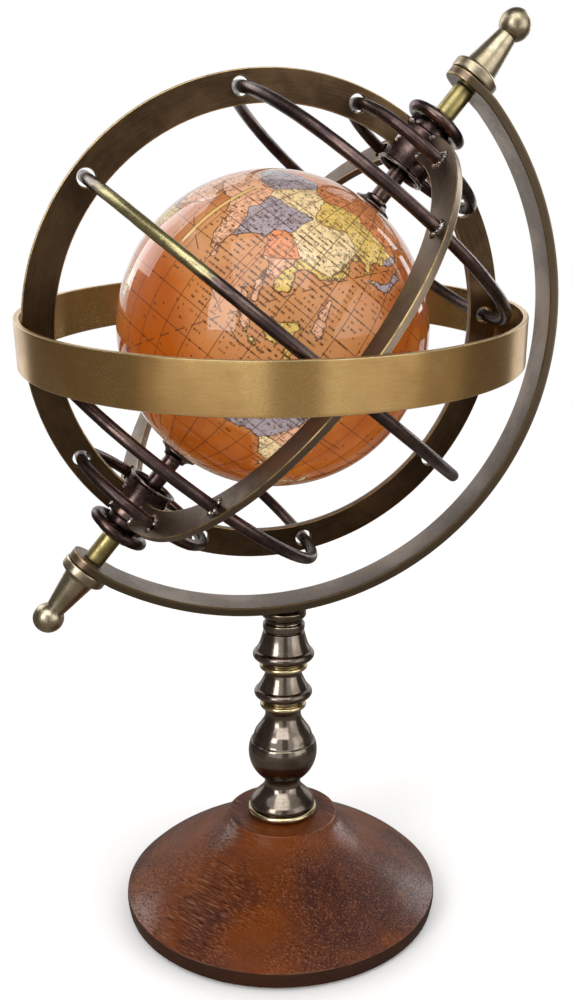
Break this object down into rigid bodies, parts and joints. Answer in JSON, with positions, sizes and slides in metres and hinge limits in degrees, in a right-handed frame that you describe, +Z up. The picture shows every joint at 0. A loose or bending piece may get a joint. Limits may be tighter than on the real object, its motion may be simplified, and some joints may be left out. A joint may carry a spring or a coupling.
{
  "type": "desktop globe on stand",
  "caption": "Armillary desk globe: a lacquered globe in a cage of metal rings on a tilted axle, held by a bent strip on a turned metal column with a round wooden base.",
  "frame": {"origin": "centre of the underside of the felt pad, where the base rests", "axes": "+Z up along the column, the polar axle leans toward +X, +Y away from the viewer"},
  "size_m": [0.2199, 0.2054, 0.3869],
  "materials": {
    "felt": "felt",
    "base_wood": "satin varnish",
    "steel": "plain",
    "column_metal": "dark polished",
    "dark_bronze": "dark satin",
    "plate_bronze": "brown satin",
    "strip_bronze": "brown satin",
    "antique_brass": "antique",
    "bright_brass": "bright",
    "band_brass": "brushed",
    "globe_map": "lacquered"
  },
  "bodies": {
    "stand": {"felt_pad": "felt", "wooden_base": "base_wood", "tie_nut": "steel", "tie_washer": "steel", "tie_rod": "steel", "column_foot": "column_metal", "column_bulb": "column_metal", "column_lower_knop": "column_metal", "column_upper_knop": "column_metal", "column_cap": "column_metal", "arc_washer": "dark_bronze", "support_arc": "strip_bronze", "polar_axle": "steel", "upper_finial": "antique_brass", "lower_finial": "antique_brass", "upper_spacer": "bright_brass", "lower_spacer": "bright_brass", "upper_disc_washer": "dark_bronze", "lower_disc_washer": "dark_bronze", "upper_inner_tube": "dark_bronze", "lower_inner_tube": "dark_bronze"},
    "cage": {"upper_hub": "dark_bronze", "lower_hub": "dark_bronze", "meridian_plate_right": "plate_bronze", "meridian_plate_back": "plate_bronze", "meridian_plate_left": "plate_bronze", "meridian_plate_front": "plate_bronze", "south_polar_rod": "dark_bronze", "south_tropic_rod": "dark_bronze", "equator_rod": "dark_bronze", "north_tropic_rod": "dark_bronze", "north_polar_rod": "dark_bronze", "ecliptic_band": "band_brass"},
    "globe": {"globe_north_shell": "globe_map", "globe_south_shell": "globe_map", "upper_pole_cap": "dark_bronze", "lower_pole_cap": "dark_bronze"}
  },
  "joints": [
    {"name": "cage_spin", "type": "hinge", "parent": "stand", "child": "cage", "pos_m": [-0.005, 0, 0.26], "axis": [0.6198, 0, 0.7848], "continuous": true},
    {"name": "globe_spin", "type": "hinge", "parent": "stand", "child": "globe", "pos_m": [-0.005, 0, 0.26], "axis": [0.6198, 0, 0.7848], "continuous": true}
  ]
}
